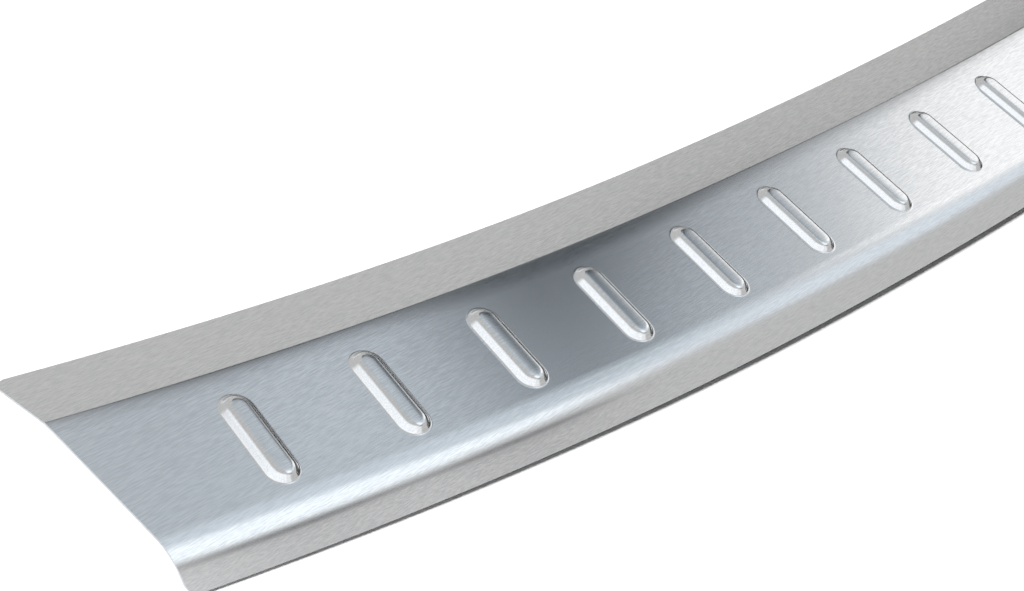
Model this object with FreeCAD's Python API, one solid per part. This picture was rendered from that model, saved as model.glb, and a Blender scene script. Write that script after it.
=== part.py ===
# Loading sill protector for the top of a rear bumper, pressed from one brushed steel sheet.
# Millimetres. X runs along the plate, +Y points to the tailgate, +Z is up.
# The origin is the middle of the rib row, on the underside of the flat field, which is the face
# that is bonded down. The plate is mirror-symmetric about X = 0.
import FreeCAD, Part
import math
import os

# Sheet
SHEET_T = 0.8

# Plan: three tangent arcs, flatter in the middle, measured along the rib row
PLAN_R_MIDDLE = 3400.0
PLAN_R_END = 2130.0
MIDDLE_ARC_HALF = 250.0
END_LENGTH = 52.0
END_SLANT = 10.8

# Section: flat field, shallow rear flange, wide front bend and front lip
FIELD_REAR = 26.9
FIELD_FRONT = 19.5
REAR_FLANGE = 22.3
REAR_ANGLE = 13.5
REAR_BEND_R = 3.0
FRONT_LIP = 7.2
FRONT_ANGLE = 35.0
FRONT_BEND_R = 19.2
CORNER_R = 4.0

# Ribs: pressed up from below with the sheet's thickness all over, in a row along the field
RIB_COUNT = 20
RIB_PITCH = 50.0
RIB_LENGTH = 35.8
RIB_WIDTH = 12.6
RIB_HEIGHT = 2.4
RIB_WALL_ANGLE = 44.0

# Worked out from the sizes above
UP = FreeCAD.Vector(0, 0, 1)
ORIGIN = FreeCAD.Vector(0, 0, 0)
ROW_HALF = RIB_PITCH * (RIB_COUNT - 1) / 2
PLATE_HALF = ROW_HALF + END_LENGTH
PLATE_WIDTH = REAR_FLANGE + FIELD_REAR + FIELD_FRONT + FRONT_BEND_R + FRONT_LIP


def vec(x, y, z):
    return FreeCAD.Vector(x, y, z)


def line(a, b):
    return Part.LineSegment(a, b).toShape()


def arc(a, through, b):
    return Part.Arc(a, through, b).toShape()


def arc_centre(point, heading, radius):
    """Centre of the plan arc that passes point with this heading and curls to the rear."""
    return point + vec(-math.sin(heading), math.cos(heading), 0) * radius


def along_arc(point, heading, radius, travel):
    """Point and heading after travelling this far along a plan arc."""
    centre = arc_centre(point, heading, radius)
    heading += travel / radius
    return centre - arc_centre(ORIGIN, heading, radius), heading


def plan_point(distance):
    """Point and heading on the rib row at this distance from the middle."""
    travel = abs(distance)
    in_middle = min(travel, MIDDLE_ARC_HALF)
    point, heading = along_arc(ORIGIN, 0, PLAN_R_MIDDLE, in_middle)
    point, heading = along_arc(point, heading, PLAN_R_END, travel - in_middle)
    if distance < 0:
        return vec(-point.x, point.y, 0), -heading
    return point, heading


def station(distance):
    """Frame on the rib row: X along the row, Y to the rear."""
    point, heading = plan_point(distance)
    return FreeCAD.Placement(point, FreeCAD.Rotation(UP, math.degrees(heading)))


def bent_side(side, flat, bend_r, angle, flange, height):
    """One face of the sheet from the flat out to a free edge, height above the underside.

    Returns the start, middle and end of the bend and the free edge; side is 1 to the rear."""
    radius = bend_r + height
    points = []
    for turn in (0, math.radians(angle) / 2, math.radians(angle)):
        out = flat + radius * math.sin(turn)
        points.append(vec(0, side * out, radius * math.cos(turn) - bend_r))
    slope = vec(0, side * math.cos(turn), -math.sin(turn))
    points.append(points[-1] + slope * flange)
    return points


def rear_side(height):
    return bent_side(1, FIELD_REAR, REAR_BEND_R, REAR_ANGLE, REAR_FLANGE, height)


def front_side(height):
    return bent_side(-1, FIELD_FRONT, FRONT_BEND_R, FRONT_ANGLE, FRONT_LIP, height)


def section_face():
    """Cross-section of the bent sheet in the plane X = 0."""
    edges = []
    tips = []
    for height in (0, SHEET_T):
        rear = rear_side(height)
        front = front_side(height)
        edges.append(line(rear[0], front[0]))
        for start, middle, end, tip in (rear, front):
            edges += [arc(start, middle, end), line(end, tip)]
            tips.append(tip)
    edges += [line(tips[0], tips[2]), line(tips[1], tips[3])]
    return Part.Face(Part.Wire(Part.sortEdges(edges)[0]))


def outline_face():
    """Upright rectangle over the section, out to both free edges."""
    front = front_side(SHEET_T)[-1].y
    rear = rear_side(SHEET_T)[-1].y
    deep = PLATE_WIDTH
    corners = [vec(0, front, -deep), vec(0, rear, -deep), vec(0, rear, deep), vec(0, front, deep)]
    return Part.Face(Part.makePolygon(corners + corners[:1]))


def carried(face, start, travel, radius):
    """A cross-section carried along one plan arc, from the place at start."""
    point, heading = plan_point(start)
    face.Placement = station(start)
    return face.revolve(arc_centre(point, heading, radius), UP, math.degrees(travel / radius))


def end_trim():
    """Block beyond the slanted cut at the +X end."""
    size = 2 * PLATE_WIDTH
    block = Part.makeBox(size, 2 * size, 2 * size, vec(0, -size, -size))
    turned = FreeCAD.Placement(ORIGIN, FreeCAD.Rotation(UP, -END_SLANT))
    block.Placement = station(PLATE_HALF).multiply(turned)
    return block


def end_corners(outline):
    """The upright edges of the outline block beyond the last rib."""
    last_rib = station(ROW_HALF).Base.x
    found = []
    for edge in outline.Edges:
        low, high = [vertex.Point for vertex in edge.Vertexes]
        aside = (high - low).cross(UP).Length
        if aside < SHEET_T and low.x > last_rib:
            found.append(edge)
    return found


def end_piece():
    """The +X end of the bent sheet, cut to a slanted end with rounded corners."""
    travel = PLATE_HALF - MIDDLE_ARC_HALF + PLATE_WIDTH
    sheet = carried(section_face(), MIDDLE_ARC_HALF, travel, PLAN_R_END)
    outline = carried(outline_face(), MIDDLE_ARC_HALF, travel, PLAN_R_END).cut(end_trim())
    outline = outline.makeFillet(CORNER_R, end_corners(outline))
    return sheet.common(outline)


def plain_plate():
    """The bent sheet with both ends, before its ribs."""
    middle = carried(section_face(), -MIDDLE_ARC_HALF, 2 * MIDDLE_ARC_HALF, PLAN_R_MIDDLE)
    end = end_piece()
    return middle.fuse([end, end.mirror(ORIGIN, vec(1, 0, 0))])


def rib_half_face():
    """Half of a rib's cross-section, from its centre plane out to its foot.

    Both bends are sharp on their inside and bevelled on their outside, which keeps the sheet's
    thickness all over."""
    slope = math.radians(RIB_WALL_ANGLE)
    lean = SHEET_T * math.sin(slope)
    drop = SHEET_T * math.cos(slope)
    foot = RIB_WIDTH / 2
    crown = foot - lean - (RIB_HEIGHT - SHEET_T + drop) / math.tan(slope)
    under = [vec(foot, 0, 0), vec(foot - lean, 0, SHEET_T - drop), vec(crown, 0, RIB_HEIGHT)]
    top = RIB_HEIGHT + SHEET_T
    upper = [vec(crown, 0, top), vec(crown + lean, 0, RIB_HEIGHT + drop), vec(foot, 0, SHEET_T)]
    centre = [vec(0, 0, RIB_HEIGHT), vec(0, 0, top)]
    return Part.Face(Part.makePolygon(under + centre + upper + under[:1]))


def rib():
    """One pressed rib: straight walls and half-round ends, all of one sheet thickness."""
    straight = RIB_LENGTH - RIB_WIDTH
    half = rib_half_face()
    run = half.extrude(vec(0, straight, 0))
    run = run.fuse(run.mirror(ORIGIN, vec(1, 0, 0)))
    front = half.revolve(ORIGIN, UP, -180)
    rear = half.revolve(ORIGIN, UP, 180)
    rear.translate(vec(0, straight, 0))
    shape = run.fuse([front, rear]).removeSplitter()
    shape.translate(vec(0, -straight / 2, 0))
    return shape


def rib_opening():
    """The hole in the flat sheet that a rib fills."""
    radius = RIB_WIDTH / 2
    straight = RIB_LENGTH - RIB_WIDTH
    shape = Part.makeBox(RIB_WIDTH, straight, SHEET_T, vec(-radius, -straight / 2, 0))
    for side in (-1, 1):
        shape = shape.fuse(Part.makeCylinder(radius, SHEET_T, vec(0, side * straight / 2, 0)))
    return shape.removeSplitter()


def placed_along_row(shape):
    """A copy of the shape at each rib's place."""
    copies = []
    for index in range(RIB_COUNT):
        copy = shape.copy()
        place = station(index * RIB_PITCH - ROW_HALF)
        copy.Placement = place.multiply(copy.Placement)
        copies.append(copy)
    return copies


def sill_plate():
    plate = plain_plate().cut(placed_along_row(rib_opening()))
    plate = plate.fuse(placed_along_row(rib()))
    return plate.removeSplitter()


os.makedirs("parts", exist_ok=True)
plate = sill_plate().Solids[0]
plate.exportStep("parts/sill_plate.step")
print("sill_plate", round(plate.Volume), "mm3", len(plate.Faces), "faces")
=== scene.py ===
# Loading sill protector: a brushed steel plate with a row of pressed ribs, lying on a pale table.
# Metres. X runs along the plate, +Y points to the tailgate side, +Z is up.
# The plate is modelled straight, one rib's length at a time, and is then bent to its plan curve.
import math

import bmesh
import bpy
from mathutils import Matrix, Vector


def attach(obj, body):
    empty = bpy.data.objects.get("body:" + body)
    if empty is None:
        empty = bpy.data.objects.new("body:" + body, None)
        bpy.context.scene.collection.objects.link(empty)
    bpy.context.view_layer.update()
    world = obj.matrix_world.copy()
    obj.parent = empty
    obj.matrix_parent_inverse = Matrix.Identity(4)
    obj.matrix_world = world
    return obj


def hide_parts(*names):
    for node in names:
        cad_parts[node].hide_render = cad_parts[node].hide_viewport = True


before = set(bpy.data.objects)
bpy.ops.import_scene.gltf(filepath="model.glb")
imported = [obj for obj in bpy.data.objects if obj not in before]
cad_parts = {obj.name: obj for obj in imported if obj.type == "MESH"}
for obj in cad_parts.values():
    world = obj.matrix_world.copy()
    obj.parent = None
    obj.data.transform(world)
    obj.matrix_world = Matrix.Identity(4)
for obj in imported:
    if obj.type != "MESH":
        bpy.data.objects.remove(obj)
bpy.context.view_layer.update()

bl_info = {
    "name": "Loading sill protector",
    "version": (1, 0, 0),
    "blender": (4, 5, 0),
    "location": "3D View > Sidebar > Sill plate",
    "description": "Models a brushed steel sill plate with pressed ribs, and lights it on a pale table",
    "category": "Object",
}

MM = 0.001
UP = Vector((0, 0, 1))

# Mesh density
GRID_STEP = 5 * MM
END_TURNS = 18
FOOT_TURNS = 4
CROWN_TURNS = 8
DOME_TURNS = 2
LEAD_TURNS = 4
REAR_BEND_TURNS = 4
FRONT_BEND_TURNS = 12
CORNER_TURNS = 6
KEEP_FLAT = 0.4 * MM
MERGE_DISTANCE = 0.01 * MM
CUT_EDGE_TURNS = 2

# The cut edges are broken by this much; only corners sharper than the angle count as cut edges
CUT_EDGE = 0.12 * MM
CUT_EDGE_ANGLE = math.radians(60)

# Brushed grain: noise cells per metre along X, Y and Z, and the noise levels of both tints
GRAIN_PER_METRE = (220, 3400, 3400)
GRAIN_DETAIL = 2.0
GRAIN_DARK_LEVEL = 0.35
GRAIN_PALE_LEVEL = 0.65
GRAIN_DEPTH = 0.02 * MM
GROOVE_ROUGHER = 0.08
RIDGE_SMOOTHER = 0.04
STRETCHED_GLOSS = 0.6

# Stage
TABLE_ROUGHNESS = 0.9
TABLE_REACH = 6.0
SENSOR_WIDTH = 36.0


def length(name, description, default):
    return bpy.props.FloatProperty(
        name=name, description=description, default=default, min=0.0, precision=5,
        subtype="DISTANCE", unit="LENGTH")


def angle(name, description, degrees):
    return bpy.props.FloatProperty(
        name=name, description=description, default=math.radians(degrees),
        subtype="ANGLE", unit="ROTATION")


def colour(name, description, default):
    return bpy.props.FloatVectorProperty(
        name=name, description=description, default=default, size=4, min=0.0, max=1.0,
        subtype="COLOR")


def share(name, description, default):
    return bpy.props.FloatProperty(
        name=name, description=description, default=default, min=0.0, max=1.0)


class PlateSizes(bpy.types.PropertyGroup):
    """Sizes of the bent sheet"""

    sheet: length("Sheet", "Thickness of the steel sheet", 0.8 * MM)
    plan_r_middle: length("Middle radius", "Plan radius of the middle, along the rib row", 3400 * MM)
    plan_r_end: length("End radius", "Plan radius of both ends, along the rib row", 2130 * MM)
    middle_half: length("Middle half", "Half the length of the flatter middle arc", 250 * MM)
    end_length: length("End length", "From the last rib to the slanted end", 52 * MM)
    end_slant: angle("End slant", "Slant of both ends", 10.8)
    field_rear: length("Field to the rear", "Flat field behind the rib row", 26.9 * MM)
    field_front: length("Field to the front", "Flat field in front of the rib row", 19.5 * MM)
    rear_flange: length("Rear flange", "Width of the shallow rear flange", 22.3 * MM)
    rear_angle: angle("Rear angle", "Slope of the rear flange", 13.5)
    rear_bend: length("Rear bend", "Inside radius of the rear bend", 3.0 * MM)
    rear_lead: length("Rear lead", "Strip of the field that curves gently to the rear bend", 7.0 * MM)
    lead_angle: angle("Lead angle", "Slope of the field where the rear bend starts", 2.5)
    front_lip: length("Front lip", "Width of the flat front lip", 7.2 * MM)
    front_angle: angle("Front angle", "Slope of the front lip", 35)
    front_bend: length("Front bend", "Inside radius of the wide front bend", 19.2 * MM)
    corner: length("Corner radius", "Rounding of the four corners in plan", 4.0 * MM)


class RibSizes(bpy.types.PropertyGroup):
    """Sizes of the pressed ribs"""

    count: bpy.props.IntProperty(name="Count", description="Ribs along the plate", default=20, min=2)
    pitch: length("Pitch", "From rib to rib along the row", 50 * MM)
    long: length("Length", "Length of a rib across the plate", 35.8 * MM)
    wide: length("Width", "Width of a rib", 12.6 * MM)
    high: length("Height", "Rise of a rib's crown over the field", 2.4 * MM)
    wall: angle("Wall", "Slope of a rib's walls", 48)
    dome: angle("Dome", "Slope at which the gently domed crown starts", 1.5)
    foot_r: length("Foot radius", "Radius between the field and a rib's wall", 1.0 * MM)
    crown_r: length("Crown radius", "Radius between a rib's wall and its crown", 3.2 * MM)


class SteelLook(bpy.types.PropertyGroup):
    """Colour and finish of the brushed steel"""

    tint: colour("Steel", "Colour of the steel", (0.605, 0.625, 0.645, 1.0))
    dark_tint: colour("Grooves", "Colour in the grooves of the grain", (0.52, 0.54, 0.565, 1.0))
    roughness: share("Roughness", "Roughness between the grooves", 0.14)
    grain: share("Grain", "Depth of the brushed grain", 0.2)


class StageLook(bpy.types.PropertyGroup):
    """Table, light and camera"""

    table: colour("Table", "Colour of the table", (0.9, 0.9, 0.9, 1.0))
    fill: share("Fill", "Share of the studio's light that reaches the table", 0.06)
    key_level: bpy.props.FloatProperty(
        name="Key", description="Level of the soft key light", default=8.0)
    key_spread: angle("Key spread", "Spread of the key light, which softens its shadows", 20)
    key_aim: bpy.props.FloatVectorProperty(
        name="Key aim", description="Direction in which the key light falls",
        default=(1.7, -1.05, -1.15), subtype="XYZ")
    camera_place: bpy.props.FloatVectorProperty(
        name="Camera", description="Place of the camera",
        default=(-0.9184, -0.2053, 0.5225), subtype="XYZ", unit="LENGTH")
    camera_turn: bpy.props.FloatVectorProperty(
        name="Camera turn", description="Turn of the camera",
        default=(math.radians(46.448), math.radians(-19.944), math.radians(-48.765)),
        subtype="EULER", unit="ROTATION")
    lens: bpy.props.FloatProperty(
        name="Lens", description="Focal length on a 36 mm sensor", default=87.32)


# Straight plate: x along the row, y to the rear

def arc_run(place, heading, radius, turn, turns):
    """Points of an arc from place, which starts along heading and turns downwards by turn."""
    side = 1 if turn > 0 else -1
    points = []
    for step in range(1, turns + 1):
        angle_now = heading + turn * step / turns
        across = side * radius * (math.sin(angle_now) - math.sin(heading))
        down = side * radius * (math.cos(heading) - math.cos(angle_now))
        points.append((place[0] + across, place[1] - down))
    return points


def flange_outline(flat, arcs, flange, corner):
    """Upper side of one flange from the flat field outwards: distance out and height.

    Each arc is given as its upper radius, the slope at its end and its number of steps.
    The points close to the free edge are spaced so that the end's rounded corner is even."""
    points = [(flat - KEEP_FLAT, 0.0), (flat, 0.0)]
    slope = 0.0
    for radius, end_slope, turns in arcs:
        points += arc_run(points[-1], slope, radius, end_slope - slope, turns)
        slope = end_slope
    out, height = points[-1]
    for step in range(CORNER_TURNS, -1, -1):
        inside = corner * (1 - math.cos(math.pi / 2 * step / CORNER_TURNS))
        across = flange * math.cos(slope) - inside
        points.append((out + across, height - across * math.tan(slope)))
    return points


def section_outline(p):
    """Upper side of the whole section, from the front lip's edge to the rear flange's edge."""
    front_arcs = [(p.front_bend + p.sheet, p.front_angle, FRONT_BEND_TURNS)]
    front = flange_outline(p.field_front, front_arcs, p.front_lip, p.corner)
    lead = (p.rear_lead / math.sin(p.lead_angle), p.lead_angle, LEAD_TURNS)
    rear_arcs = [lead, (p.rear_bend + p.sheet, p.rear_angle, REAR_BEND_TURNS)]
    rear = flange_outline(p.field_rear - p.rear_lead, rear_arcs, p.rear_flange, p.corner)
    low, high = hole_reach(p)
    columns = round((high - low) / GRID_STEP)
    field = [(low + (high - low) * step / columns, 0.0) for step in range(1, columns)]
    return [(-out, height) for out, height in reversed(front)] + field + rear


def hole_reach(p):
    """How far the gap around a rib reaches to the front and rear: the whole flat field."""
    return KEEP_FLAT - p.field_front, p.field_rear - p.rear_lead - KEEP_FLAT


def row_of_verts(bm, points):
    """A line of vertices in the plane x = 0, joined by edges, from (y, z) points."""
    verts = [bm.verts.new((0, y, z)) for y, z in points]
    return [bm.edges.new(pair) for pair in zip(verts, verts[1:])]


def drawn_out(bm, edges, travel):
    """Extrude edges along a vector in steps of about the grid's; returns the last edges."""
    steps = max(1, round(travel.length / GRID_STEP))
    for _ in range(steps):
        made = bmesh.ops.extrude_edge_only(bm, edges=edges)["geom"]
        fresh = {item for item in made if isinstance(item, bmesh.types.BMVert)}
        bmesh.ops.translate(bm, verts=list(fresh), vec=travel / steps)
        edges = [item for item in made if isinstance(item, bmesh.types.BMEdge)
                 and all(vert in fresh for vert in item.verts)]
    return edges


def rib_outline(rib):
    """Upper side of half a rib from the flat outside its foot up to its crown: x and z."""
    wall, dome = rib.wall, rib.dome
    half_turn = math.tan(dome / 2)
    foot = rib.wide / 2
    across = foot - rib.foot_r * math.sin(wall) - rib.crown_r * (math.sin(wall) - math.sin(dome))
    rise = rib.high - rib.foot_r * (1 - math.cos(wall))
    rise -= rib.crown_r * (math.cos(dome) - math.cos(wall))
    wall_long = (rise - across * half_turn) / (math.sin(wall) - math.cos(wall) * half_turn)
    dome_r = (across - wall_long * math.cos(wall)) / math.sin(dome)
    points = [(foot + KEEP_FLAT, 0.0), (foot, 0.0)]
    for step in range(1, FOOT_TURNS + 1):
        turn = wall * step / FOOT_TURNS
        points.append((foot - rib.foot_r * math.sin(turn), rib.foot_r * (1 - math.cos(turn))))
    x, z = points[-1]
    x, z = x - wall_long * math.cos(wall), z + wall_long * math.sin(wall)
    points.append((x, z))
    arcs = ((rib.crown_r, wall, dome, CROWN_TURNS), (dome_r, dome, 0.0, DOME_TURNS))
    for radius, start, end, turns in arcs:
        for step in range(1, turns + 1):
            turn = start + (end - start) * step / turns
            inwards = radius * (math.sin(start) - math.sin(turn))
            upwards = radius * (math.cos(turn) - math.cos(start))
            points.append((x - inwards, z + upwards))
        x, z = points[-1]
    return points


def add_rib(bm, rib):
    """A rib at the origin: half its outline spun round each end and drawn along each side."""
    straight = rib.long - rib.wide
    verts = [bm.verts.new((x, straight / 2, z)) for x, z in rib_outline(rib)]
    edges = [bm.edges.new(pair) for pair in zip(verts, verts[1:])]
    for side in (1, -1):
        spun = bmesh.ops.spin(
            bm, geom=edges, cent=(0, side * straight / 2, 0), axis=UP, angle=math.pi,
            steps=END_TURNS)
        edges = [item for item in spun["geom_last"] if isinstance(item, bmesh.types.BMEdge)]
        edges = drawn_out(bm, edges, Vector((0, -side * straight, 0)))


def within_rib(rib, place):
    """Whether a place on the field lies in or on the outline of the rib at the origin."""
    straight = (rib.long - rib.wide) / 2
    beyond = max(0.0, abs(place.y) - straight)
    return math.hypot(place.x, beyond) < rib.wide / 2 + KEEP_FLAT + MERGE_DISTANCE


def add_cell(bm, p, rib):
    """One rib's length of the straight plate, with its rib and the flat field around it."""
    edges = row_of_verts(bm, section_outline(p))
    drawn_out(bm, edges, Vector((rib.pitch, 0, 0)))
    bmesh.ops.translate(bm, verts=bm.verts, vec=(-rib.pitch / 2, 0, 0))
    low, high = hole_reach(p)
    near = rib.wide / 2 + 2 * KEEP_FLAT
    side = math.ceil(near / GRID_STEP) * GRID_STEP
    inside = [face for face in bm.faces
              if abs(face.calc_center_median().x) < side and low < face.calc_center_median().y < high]
    bmesh.ops.delete(bm, geom=inside, context="FACES")
    add_rib(bm, rib)
    bmesh.ops.remove_doubles(bm, verts=bm.verts, dist=MERGE_DISTANCE)
    gap = [edge for edge in bm.edges if edge.is_boundary and abs(edge.verts[0].co.z) < MERGE_DISTANCE
           and max(abs(vert.co.x) for vert in edge.verts) < side + MERGE_DISTANCE
           and min(vert.co.y for vert in edge.verts) > low - MERGE_DISTANCE
           and max(vert.co.y for vert in edge.verts) < high + MERGE_DISTANCE]
    filled = bmesh.ops.triangle_fill(bm, edges=gap, use_beauty=True, normal=UP)["geom"]
    under_rib = [item for item in filled if isinstance(item, bmesh.types.BMFace)
                 and all(within_rib(rib, vert.co) for vert in item.verts)]
    bmesh.ops.delete(bm, geom=under_rib, context="FACES_ONLY")


def slanted_end(p, rib, y):
    """Travel along the row at which the slanted end cuts the line at this distance behind it."""
    end = rib.pitch * (rib.count - 1) / 2 + p.end_length
    turn = math.asin(p.plan_r_end * math.sin(p.end_slant) / (p.plan_r_end - y)) - p.end_slant
    return end + p.plan_r_end * turn


def rounded_end(p, rib, y, edges):
    """As slanted_end, with both corners rounded; edges are the front and the rear free edge."""
    for edge, slant in zip(edges, (p.end_slant, -p.end_slant)):
        inside = abs(y - edge)
        if inside < p.corner * (1 - math.sin(slant)):
            centre = p.corner * (math.tan(slant) - 1 / math.cos(slant))
            across = math.sqrt(p.corner ** 2 - (p.corner - inside) ** 2)
            travel = (centre + across) * p.plan_r_end / (p.plan_r_end - edge)
            return slanted_end(p, rib, edge) + travel
    return slanted_end(p, rib, y)


def add_end_run(bm, p, rib):
    """Plain straight plate beyond the last rib's cell, out to the slanted and rounded end."""
    start = rib.pitch * rib.count / 2
    outline = section_outline(p)
    before = set(bm.verts)
    drawn_out(bm, row_of_verts(bm, outline), Vector((p.end_length, 0, 0)))
    for vert in set(bm.verts) - before:
        end = rounded_end(p, rib, vert.co.y, (outline[0][0], outline[-1][0]))
        vert.co.x = start + (end - start) * vert.co.x / p.end_length


# Plan curve

def on_plan(p, place):
    """A point of the straight plate carried to the plan curve."""
    travel = abs(place.x)
    in_middle = min(travel, p.middle_half)
    turn = in_middle / p.plan_r_middle
    x = p.plan_r_middle * math.sin(turn)
    y = p.plan_r_middle * (1 - math.cos(turn))
    end_turn = turn + (travel - in_middle) / p.plan_r_end
    x += p.plan_r_end * (math.sin(end_turn) - math.sin(turn)) - place.y * math.sin(end_turn)
    y += p.plan_r_end * (math.cos(turn) - math.cos(end_turn)) + place.y * math.cos(end_turn)
    return Vector((math.copysign(x, place.x), y, place.z))


def plate_mesh(p, rib):
    """The finished upper side as one bmesh: its +X half, then the mirrored half."""
    cell = bmesh.new()
    add_cell(cell, p, rib)
    cell_mesh = bpy.data.meshes.new("cell")
    cell.to_mesh(cell_mesh)
    cell.free()
    bm = bmesh.new()
    for index in range(rib.count // 2, rib.count):
        before = set(bm.verts)
        bm.from_mesh(cell_mesh)
        fresh = [vert for vert in bm.verts if vert not in before]
        bmesh.ops.translate(bm, verts=fresh, vec=(rib.pitch * (index - (rib.count - 1) / 2), 0, 0))
    bpy.data.meshes.remove(cell_mesh)
    add_end_run(bm, p, rib)
    for vert in bm.verts:
        vert.co = on_plan(p, vert.co)
    left = [face for face in bm.faces if face.calc_center_median().x < 0]
    bmesh.ops.delete(bm, geom=left, context="FACES")
    geom = list(bm.verts) + list(bm.edges) + list(bm.faces)
    bmesh.ops.mirror(bm, geom=geom, matrix=Matrix.Identity(4), merge_dist=MERGE_DISTANCE, axis="X")
    bmesh.ops.remove_doubles(bm, verts=bm.verts, dist=MERGE_DISTANCE)
    bmesh.ops.recalc_face_normals(bm, faces=bm.faces)
    if sum(face.normal.z * face.calc_area() for face in bm.faces) < 0:
        bmesh.ops.reverse_faces(bm, faces=bm.faces)
    return bm


# Steel

def steel_material(look):
    """Brushed steel whose grain runs straight along the sheet."""
    material = bpy.data.materials.new("brushed_steel")
    material.use_nodes = True
    nodes, links = material.node_tree.nodes, material.node_tree.links
    shader = nodes["Principled BSDF"]
    shader.inputs["Metallic"].default_value = 1.0
    shader.inputs["Anisotropic"].default_value = STRETCHED_GLOSS
    place = nodes.new("ShaderNodeTexCoord")
    grain = nodes.new("ShaderNodeMapping")
    grain.inputs["Scale"].default_value = GRAIN_PER_METRE
    links.new(place.outputs["Object"], grain.inputs["Vector"])
    fine = nodes.new("ShaderNodeTexNoise")
    fine.inputs["Scale"].default_value = 1.0
    fine.inputs["Detail"].default_value = GRAIN_DETAIL
    links.new(grain.outputs["Vector"], fine.inputs["Vector"])
    tints = nodes.new("ShaderNodeMix")
    tints.data_type = "RGBA"
    tints.inputs["A"].default_value = look.dark_tint
    tints.inputs["B"].default_value = look.tint
    spread = nodes.new("ShaderNodeMapRange")
    spread.inputs["From Min"].default_value = GRAIN_DARK_LEVEL
    spread.inputs["From Max"].default_value = GRAIN_PALE_LEVEL
    links.new(fine.outputs["Fac"], spread.inputs["Value"])
    links.new(spread.outputs["Result"], tints.inputs["Factor"])
    links.new(tints.outputs["Result"], shader.inputs["Base Color"])
    rough = nodes.new("ShaderNodeMapRange")
    rough.inputs["To Min"].default_value = look.roughness + GROOVE_ROUGHER
    rough.inputs["To Max"].default_value = look.roughness - RIDGE_SMOOTHER
    links.new(fine.outputs["Fac"], rough.inputs["Value"])
    links.new(rough.outputs["Result"], shader.inputs["Roughness"])
    bump = nodes.new("ShaderNodeBump")
    bump.inputs["Strength"].default_value = look.grain
    bump.inputs["Distance"].default_value = GRAIN_DEPTH
    links.new(fine.outputs["Fac"], bump.inputs["Height"])
    links.new(bump.outputs["Normal"], shader.inputs["Normal"])
    across = nodes.new("ShaderNodeVectorTransform")
    across.vector_type = "VECTOR"
    across.convert_from = "OBJECT"
    across.convert_to = "WORLD"
    across.inputs["Vector"].default_value = (0, 1, 0)
    links.new(across.outputs["Vector"], shader.inputs["Tangent"])
    return material


class SILL_OT_plate(bpy.types.Operator):
    """Model the pressed sheet in place of the plain solid"""

    bl_idname = "sill.plate"
    bl_label = "Model the plate"

    def execute(self, context):
        scene = context.scene
        bm = plate_mesh(scene.plate_sizes, scene.rib_sizes)
        mesh = bpy.data.meshes.new("pressed_sheet")
        bmesh.ops.translate(bm, verts=bm.verts, vec=(0, 0, scene.plate_sizes.sheet))
        bm.to_mesh(mesh)
        bm.free()
        mesh.shade_smooth()
        plate = bpy.data.objects.new("pressed_sheet", mesh)
        scene.collection.objects.link(plate)
        wall = plate.modifiers.new("sheet", "SOLIDIFY")
        wall.thickness = scene.plate_sizes.sheet
        wall.offset = -1
        wall.use_even_offset = True
        edges = plate.modifiers.new("cut_edges", "BEVEL")
        edges.width = CUT_EDGE
        edges.segments = CUT_EDGE_TURNS
        edges.limit_method = "ANGLE"
        edges.angle_limit = CUT_EDGE_ANGLE
        edges.harden_normals = True
        mesh.materials.append(steel_material(scene.steel_look))
        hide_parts("sill_plate")
        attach(plate, "root")
        return {"FINISHED"}


# Stage

def table_material(look):
    """A white table that keeps the plate's shadow."""
    material = bpy.data.materials.new("white_table")
    material.use_nodes = True
    shader = material.node_tree.nodes["Principled BSDF"]
    shader.inputs["Base Color"].default_value = look.table
    shader.inputs["Roughness"].default_value = TABLE_ROUGHNESS
    shader.inputs["Specular IOR Level"].default_value = 0.0
    return material


def add_table(scene):
    """The table touches the plate's four corners, and slopes because the front lip is deeper."""
    p = scene.plate_sizes
    rib = scene.rib_sizes
    front = section_outline(p)[0]
    rear = section_outline(p)[-1]
    front_low = front[1] + p.sheet * (1 - math.cos(p.front_angle))
    rear_low = rear[1] + p.sheet * (1 - math.cos(p.rear_angle))
    end = Vector((rib.pitch * (rib.count - 1) / 2 + p.end_length, 0, 0))
    at_front = on_plan(p, end + Vector((0, front[0], 0)))
    at_rear = on_plan(p, end + Vector((0, rear[0], 0)))
    slope = (rear_low - front_low) / (at_rear.y - at_front.y)
    bm = bmesh.new()
    bmesh.ops.create_grid(bm, x_segments=1, y_segments=1, size=TABLE_REACH)
    for vert in bm.verts:
        vert.co.z = front_low + slope * (vert.co.y - at_front.y)
    mesh = bpy.data.meshes.new("table")
    bm.to_mesh(mesh)
    bm.free()
    mesh.materials.append(table_material(scene.stage_look))
    table = bpy.data.objects.new("table", mesh)
    scene.collection.objects.link(table)


def add_key(scene):
    """A soft, even light from behind the plate's near end, that isn't mirrored in the steel."""
    look = scene.stage_look
    data = bpy.data.lights.new("key", "SUN")
    data.energy = look.key_level
    data.angle = look.key_spread
    key = bpy.data.objects.new("key", data)
    key.rotation_euler = look.key_aim.to_track_quat("-Z", "Y").to_euler()
    key.visible_glossy = False
    scene.collection.objects.link(key)


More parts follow.
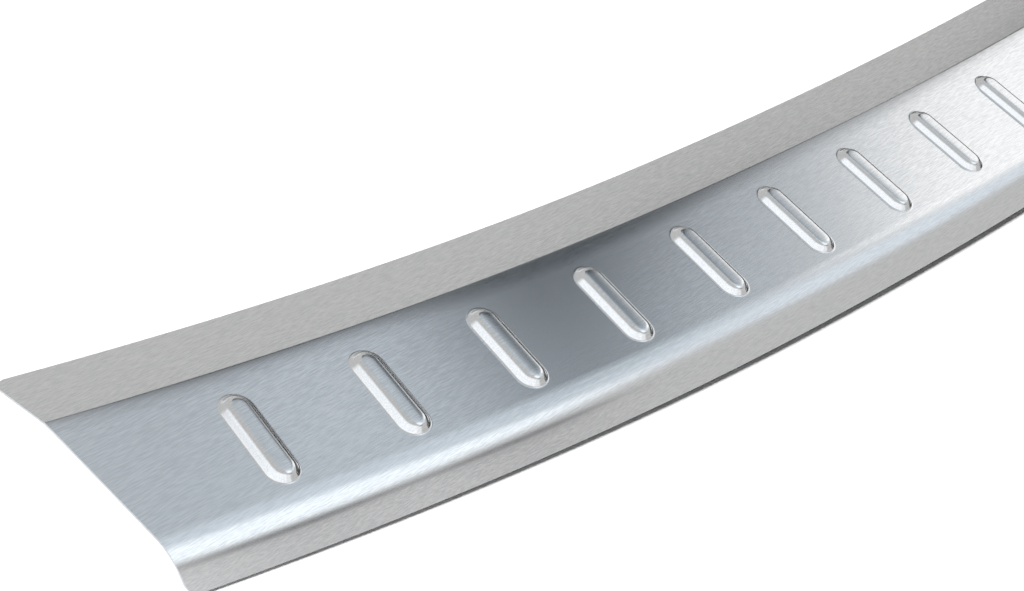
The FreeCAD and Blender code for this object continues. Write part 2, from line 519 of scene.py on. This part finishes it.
# The studio around the plate, as seen in the steel: name, azimuth and elevation of the middle,
# inner and outer reach in degrees, and colour. Later panels stand in front of earlier ones.
STUDIO_PANELS = (
    ("floor", 10, -40, 53, 58, (0.02, 0.02, 0.02)),
    ("blue_wall", 24, 43, 9, 15, (0.75, 0.80, 0.84)),
    ("blue_ceiling", 4, 52, 8, 15, (0.98, 1.06, 1.12)),
    ("window", -28, 56, 8, 15, (1.65, 1.72, 1.76)),
    ("low_window", -12, 38, 5, 12, (1.15, 1.21, 1.26)),
    ("lip_wall", -53, 34, 4, 10, (0.98, 0.95, 0.92)),
    ("far_window", 7, 28, 8, 12, (1.70, 1.66, 1.62)),
    ("rear_window", 156, 46, 10, 34, (1.62, 1.64, 1.66)),
    ("front_window", -152, 46, 20, 36, (1.62, 1.64, 1.66)),
    ("near_window", -106, 42, 16, 30, (1.6, 1.60, 1.60)),
    ("lip_window", -76, 34, 8, 16, (1.4, 1.38, 1.36)),
    ("blue_light", 27.5, 43.2, 1, 4, (0.92, 0.97, 1.02)),
    ("field_shade", 20.6, 41.0, 0.3, 2.6, (0.25, 0.28, 0.31)),
    ("bend_shade", 14.5, 43.8, 1, 4, (0.5, 0.55, 0.58)),
    ("soft_shade", 15.6, 36, 0.3, 2.2, (0.70, 0.73, 0.74)),
    ("ceiling_shade", 3.8, 46.8, 0.5, 3.5, (0.62, 0.68, 0.72)),
    ("window_shade", -9, 49.5, 1, 6, (0.88, 0.95, 1.0)),
    ("band_screen", 22.8, 33.6, 0.5, 3.2, (0.25, 0.25, 0.26)),
    ("far_band_screen", 20.2, 30.6, 0.5, 3.0, (0.55, 0.55, 0.55)),
    ("dark_screen", 25, 37.5, 2.5, 4.5, (0.0, 0.01, 0.02)),
    ("bend_screen", 29, 29, 2, 6.5, (0.05, 0.05, 0.05)),
    ("left_screen", 37, 36.5, 3, 8, (0.05, 0.05, 0.05)),
    ("right_screen", 21, 23, 2, 6, (0.03, 0.03, 0.03)),
    ("dark_edge", -51, 44, 1.5, 5, (0.10, 0.095, 0.10)),
    ("far_dark_edge", -44, 38, 1.5, 4.5, (0.10, 0.095, 0.10)),
)
STUDIO_WALLS = (0.84, 0.815, 0.785, 1)


def studio_world(scene, fill):
    """A plain studio: white to the camera, and walls, windows and screens to the steel."""
    world = bpy.data.worlds.new("studio")
    scene.world = world
    world.use_nodes = True
    nodes, links = world.node_tree.nodes, world.node_tree.links
    nodes.clear()
    output = nodes.new("ShaderNodeOutputWorld")
    seen = nodes.new("ShaderNodeBackground")
    seen.inputs["Color"].default_value = (1, 1, 1, 1)
    around = nodes.new("ShaderNodeBackground")
    way = nodes.new("ShaderNodeTexCoord").outputs["Generated"]
    light = None
    for panel in STUDIO_PANELS:
        light = add_panel(nodes, links, way, light, *panel)
    links.new(light, around.inputs["Color"])
    light_path = nodes.new("ShaderNodeLightPath")
    level = nodes.new("ShaderNodeMapRange")
    level.inputs["To Min"].default_value = 1.0
    level.inputs["To Max"].default_value = fill
    links.new(light_path.outputs["Is Diffuse Ray"], level.inputs["Value"])
    links.new(level.outputs["Result"], around.inputs["Strength"])
    mix = nodes.new("ShaderNodeMixShader")
    links.new(light_path.outputs["Is Camera Ray"], mix.inputs["Fac"])
    links.new(around.outputs["Background"], mix.inputs[1])
    links.new(seen.outputs["Background"], mix.inputs[2])
    links.new(mix.outputs["Shader"], output.inputs["Surface"])


def add_panel(nodes, links, way, behind, name, azimuth, elevation, inner, outer, light):
    """A soft round panel in front of what is behind it; returns the mixed colour."""
    level = math.cos(math.radians(elevation))
    middle = (level * math.cos(math.radians(azimuth)), level * math.sin(math.radians(azimuth)),
              math.sin(math.radians(elevation)))
    near = nodes.new("ShaderNodeVectorMath")
    near.operation = "DOT_PRODUCT"
    near.inputs[1].default_value = middle
    links.new(way, near.inputs[0])
    fade = nodes.new("ShaderNodeMapRange")
    fade.interpolation_type = "SMOOTHSTEP"
    fade.inputs["From Min"].default_value = math.cos(math.radians(outer))
    fade.inputs["From Max"].default_value = math.cos(math.radians(inner))
    links.new(near.outputs["Value"], fade.inputs["Value"])
    panel = nodes.new("ShaderNodeMix")
    panel.label = name
    panel.data_type = "RGBA"
    panel.inputs["A"].default_value = STUDIO_WALLS
    panel.inputs["B"].default_value = (*light, 1)
    links.new(fade.outputs["Result"], panel.inputs["Factor"])
    if behind:
        links.new(behind, panel.inputs["A"])
    return panel.outputs["Result"]


def add_camera(scene):
    """The photo's view."""
    look = scene.stage_look
    data = bpy.data.cameras.new("camera")
    data.sensor_fit = "HORIZONTAL"
    data.sensor_width = SENSOR_WIDTH
    data.lens = look.lens
    camera = bpy.data.objects.new("camera", data)
    camera.location = look.camera_place
    camera.rotation_euler = look.camera_turn
    scene.collection.objects.link(camera)
    scene.camera = camera


class SILL_OT_stage(bpy.types.Operator):
    """Set the table, the studio, the light and the camera"""

    bl_idname = "sill.stage"
    bl_label = "Set the stage"

    def execute(self, context):
        scene = context.scene
        add_table(scene)
        studio_world(scene, scene.stage_look.fill)
        add_key(scene)
        add_camera(scene)
        scene.view_settings.view_transform = "Standard"
        return {"FINISHED"}


class SILL_PT_panel(bpy.types.Panel):
    """Sizes, finish and steps of the sill plate"""

    bl_idname = "SILL_PT_panel"
    bl_label = "Sill plate"
    bl_space_type = "VIEW_3D"
    bl_region_type = "UI"
    bl_category = "Sill plate"

    def draw(self, context):
        layout = self.layout
        for operator in OPERATORS:
            layout.operator(operator.bl_idname)
        for name in GROUPS:
            group = getattr(context.scene, name)
            box = layout.box()
            for prop in group.bl_rna.properties:
                if prop.identifier not in {"rna_type", "name"}:
                    box.prop(group, prop.identifier)


OPERATORS = (SILL_OT_plate, SILL_OT_stage)
GROUPS = {
    "plate_sizes": PlateSizes,
    "rib_sizes": RibSizes,
    "steel_look": SteelLook,
    "stage_look": StageLook,
}


def register():
    for group in GROUPS.values():
        bpy.utils.register_class(group)
    for operator in OPERATORS:
        bpy.utils.register_class(operator)
    bpy.utils.register_class(SILL_PT_panel)
    for name, group in GROUPS.items():
        setattr(bpy.types.Scene, name, bpy.props.PointerProperty(type=group))


def unregister():
    for name in GROUPS:
        delattr(bpy.types.Scene, name)
    bpy.utils.unregister_class(SILL_PT_panel)
    for operator in reversed(OPERATORS):
        bpy.utils.unregister_class(operator)
    for group in reversed(list(GROUPS.values())):
        bpy.utils.unregister_class(group)


def main():
    register()
    bpy.ops.sill.plate()
    bpy.ops.sill.stage()


if __name__ == "__main__":
    main()
